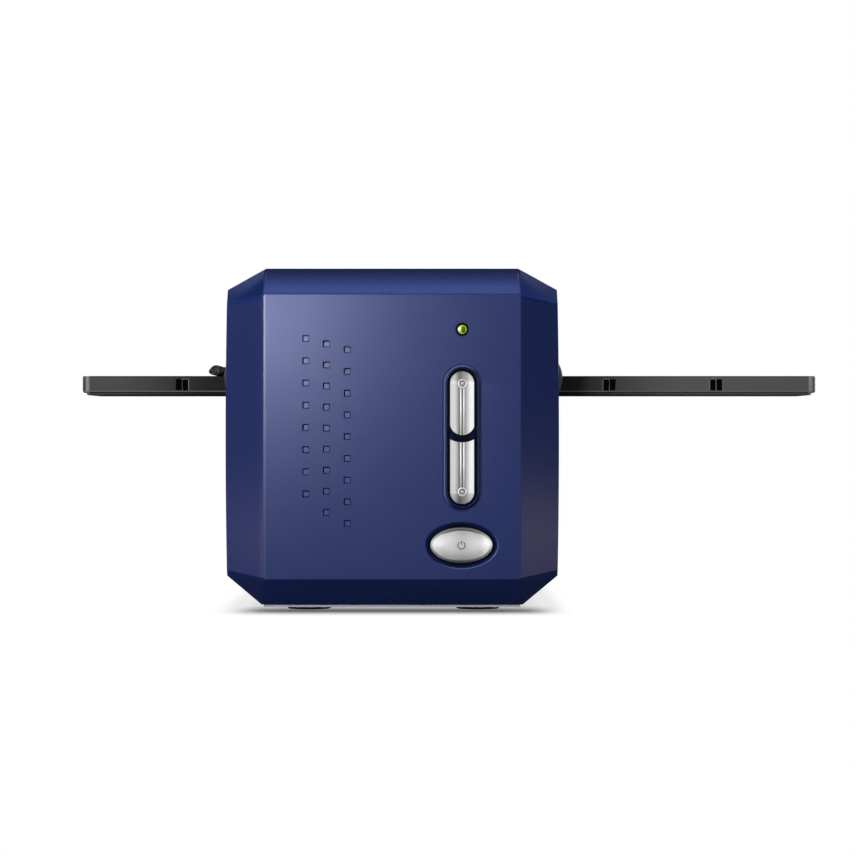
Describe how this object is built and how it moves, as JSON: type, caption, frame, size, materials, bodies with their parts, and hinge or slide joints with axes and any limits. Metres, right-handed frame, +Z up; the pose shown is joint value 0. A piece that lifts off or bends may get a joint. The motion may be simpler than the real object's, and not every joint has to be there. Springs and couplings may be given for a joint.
{
  "type": "film negative scanner",
  "caption": "Desktop film scanner: a bevelled dark blue housing with a film holder that slides through slots in its sides, silver scan buttons and a power button.",
  "frame": {"origin": "on the desk, under the middle of the body (half way across and half way along the housing)", "axes": "+Z up, the front face with the buttons faces -Y, +X is to the right as seen from the front"},
  "size_m": [0.26, 0.2723, 0.119],
  "materials": {
    "blue_shell": "dark blue moulded plastic with a fine matte texture",
    "base_plastic": "pale grey moulded plastic",
    "black_plastic": "black moulded plastic, satin",
    "bezel_plastic": "dark grey moulded plastic",
    "lid_plastic": "dark grey plastic, satin",
    "foot_rubber": "matte black rubber",
    "button_metal": "satin silver",
    "status_lens": "clear yellow-green, lit",
    "white_plastic": "white engineering plastic",
    "board_green": "green circuit board",
    "chip_black": "black component plastic",
    "sheet_steel": "zinc plated sheet",
    "polished_steel": "ground and polished rod",
    "screw_steel": "dark zinc plated",
    "bronze": "sintered bronze",
    "spring_steel": "spring strip",
    "aluminium": "plain aluminium",
    "mirror": "front-silvered glass",
    "lens_glass": "coated glass",
    "belt_rubber": "toothed rubber belt",
    "cable_white": "flat cable"
  },
  "bodies": {
    "housing": {"front_cover": "blue_shell", "casing": "blue_shell", "rear_cover": "blue_shell", "bottom_cover": "base_plastic", "foot_front_left": "foot_rubber", "foot_front_right": "foot_rubber", "foot_rear_left": "foot_rubber", "foot_rear_right": "foot_rubber", "left_slot_bezel": "bezel_plastic", "right_slot_bezel": "bezel_plastic", "flap_pins": "polished_steel", "switch_housings": "chip_black", "button_board": "board_green", "status_lens": "status_lens", "status_led": "white_plastic", "chassis": "sheet_steel", "left_gate_bracket": "sheet_steel", "right_gate_bracket": "sheet_steel", "front_gate_rail": "black_plastic", "rear_gate_rail": "black_plastic", "detent_spring": "spring_steel", "left_guide_rod": "polished_steel", "right_guide_rod": "polished_steel", "motor_bracket": "sheet_steel", "stepper_motor": "sheet_steel", "drive_axle": "polished_steel", "idler_axle": "polished_steel", "timing_belt": "belt_rubber", "main_board": "board_green", "power_inlet": "chip_black", "data_socket": "polished_steel", "sensor_flat_cable": "cable_white", "button_cable": "cable_white", "base_screws": "screw_steel", "chassis_screws": "screw_steel", "board_screws": "screw_steel"},
    "film_holder": {"film_holder_tray": "black_plastic", "film_holder_lid": "lid_plastic", "film_holder_hinge_pins": "polished_steel"},
    "carriage": {"optical_carriage": "black_plastic", "lamp_bracket": "black_plastic", "lamp_bar": "aluminium", "lamp_diffuser": "white_plastic", "guide_bushes": "bronze", "mirror": "mirror", "lens_barrel": "black_plastic", "lens_glasses": "lens_glass", "sensor_board": "board_green", "image_sensor": "chip_black"},
    "drive_gear": {"drive_gear": "white_plastic"},
    "motor_pinion": {"motor_pinion": "bronze"},
    "idler_pulley": {"idler_pulley": "white_plastic"},
    "left_flap": {"left_dust_flap": "black_plastic"},
    "right_flap": {"right_dust_flap": "black_plastic"},
    "upper_button": {"upper_scan_button": "button_metal", "upper_switch_plunger": "black_plastic"},
    "lower_button": {"lower_scan_button": "button_metal", "lower_switch_plunger": "black_plastic"},
    "power_button": {"power_button": "button_metal", "power_switch_plunger": "black_plastic"}
  },
  "joints": [
    {"name": "film_holder_slide", "type": "slide", "parent": "housing", "child": "film_holder", "axis": [1, 0, 0], "range_m": [-0.114, 0.18], "deforming": ["detent_spring"]},
    {"name": "carriage_slide", "type": "slide", "parent": "housing", "child": "carriage", "axis": [0, -1, 0], "range_m": [0, 0.028], "deforming": ["sensor_flat_cable"]},
    {"name": "drive_gear_spin", "type": "hinge", "parent": "housing", "child": "drive_gear", "pos_m": [0, 0.09, 0.02], "axis": [0, 0, 1], "range_deg": [-244.07, 1]},
    {"name": "idler_spin", "type": "hinge", "parent": "housing", "child": "idler_pulley", "pos_m": [0, -0.094, 0.015], "axis": [0, 0, 1], "range_deg": [-244.07, 1]},
    {"name": "motor_spin", "type": "hinge", "parent": "housing", "child": "motor_pinion", "pos_m": [0.0193, 0.09, 0.02], "axis": [0, 0, 1], "range_deg": [-3, 732.22]},
    {"name": "left_flap_hinge", "type": "hinge", "parent": "housing", "child": "left_flap", "pos_m": [-0.0565, -0.046, 0.0864], "axis": [0, 1, 0], "range_deg": [0, 16]},
    {"name": "right_flap_hinge", "type": "hinge", "parent": "housing", "child": "right_flap", "pos_m": [0.0565, -0.046, 0.0864], "axis": [0, 1, 0], "range_deg": [0, 16]},
    {"name": "upper_button_press", "type": "slide", "parent": "housing", "child": "upper_button", "axis": [0, 1, 0], "range_m": [0, 0.0008], "stiffness_N_per_m": 600, "springref_m": -0.0006},
    {"name": "lower_button_press", "type": "slide", "parent": "housing", "child": "lower_button", "axis": [0, 1, 0], "range_m": [0, 0.0008], "stiffness_N_per_m": 600, "springref_m": -0.0006},
    {"name": "power_button_press", "type": "slide", "parent": "housing", "child": "power_button", "axis": [0, 1, 0], "range_m": [0, 0.0008], "stiffness_N_per_m": 600, "springref_m": -0.0006}
  ],
  "couplings": [
    {"joint": "drive_gear_spin", "follows": "carriage_slide", "rad_per_m": -151.52},
    {"joint": "idler_spin", "follows": "carriage_slide", "rad_per_m": -151.52},
    {"joint": "motor_spin", "follows": "carriage_slide", "rad_per_m": 454.55}
  ]
}
